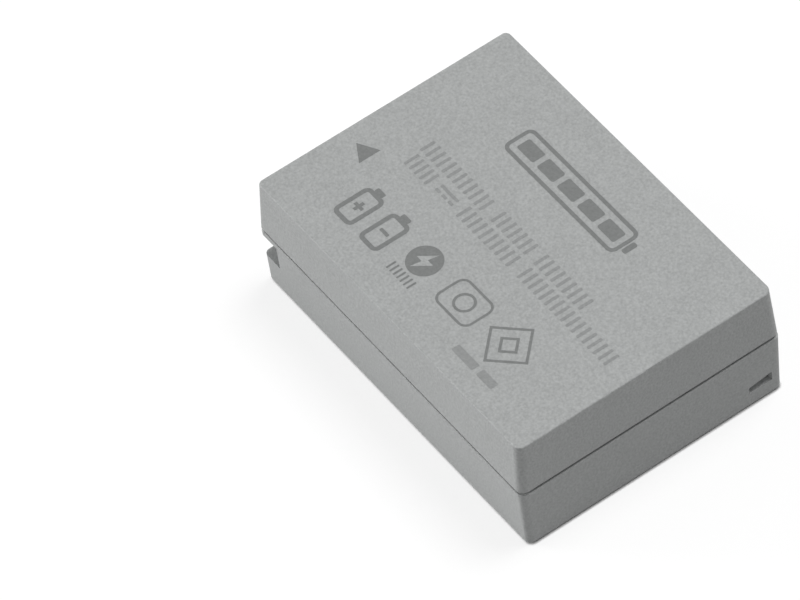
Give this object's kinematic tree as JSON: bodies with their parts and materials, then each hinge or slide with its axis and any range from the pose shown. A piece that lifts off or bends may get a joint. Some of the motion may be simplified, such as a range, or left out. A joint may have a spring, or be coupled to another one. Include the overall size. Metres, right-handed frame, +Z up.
{
  "type": "camera battery",
  "caption": "Flat rechargeable camera battery in a two-part moulded grey case with a seam groove, corner clip notches and recessed contacts in one short end.",
  "frame": {"origin": "centre of the broad bottom face", "axes": "+X along the length towards the end away from the contacts, +Y along the width, +Z up through the thickness"},
  "size_m": [0.0454, 0.0324, 0.0152],
  "materials": {
    "case": "fine moulded texture",
    "cell_can": "drawn, satin",
    "gasket": "moulded",
    "nickel": "rolled strip",
    "contact_plate": "gold-plated, polished",
    "board": "solder mask",
    "chip": "moulded",
    "passive": "sintered",
    "tape": "film",
    "foam": "closed cell",
    "insulator": "fibre paper"
  },
  "bodies": {
    "root": {"lower_case": "case", "upper_case": "case", "lower_cell": "cell_can", "upper_cell": "cell_can", "lower_cell_gasket": "gasket", "upper_cell_gasket": "gasket", "lower_cell_terminal": "nickel", "upper_cell_terminal": "nickel", "lower_cell_weld_plate": "nickel", "upper_cell_weld_plate": "nickel", "positive_lead": "nickel", "middle_lead": "nickel", "negative_lead": "nickel", "series_link": "nickel", "minus_contact": "contact_plate", "thermistor_contact": "contact_plate", "plus_contact": "contact_plate", "circuit_board": "board", "protection_chip": "chip", "mosfet_switch": "chip", "thermistor": "chip", "chip_fuse": "chip", "chip_capacitors": "passive", "chip_resistors": "passive", "lower_adhesive_sheet": "tape", "cell_tape": "tape", "upper_adhesive_sheet": "tape", "end_foam_pad": "foam", "header_insulator": "insulator"}
  },
  "joints": []
}
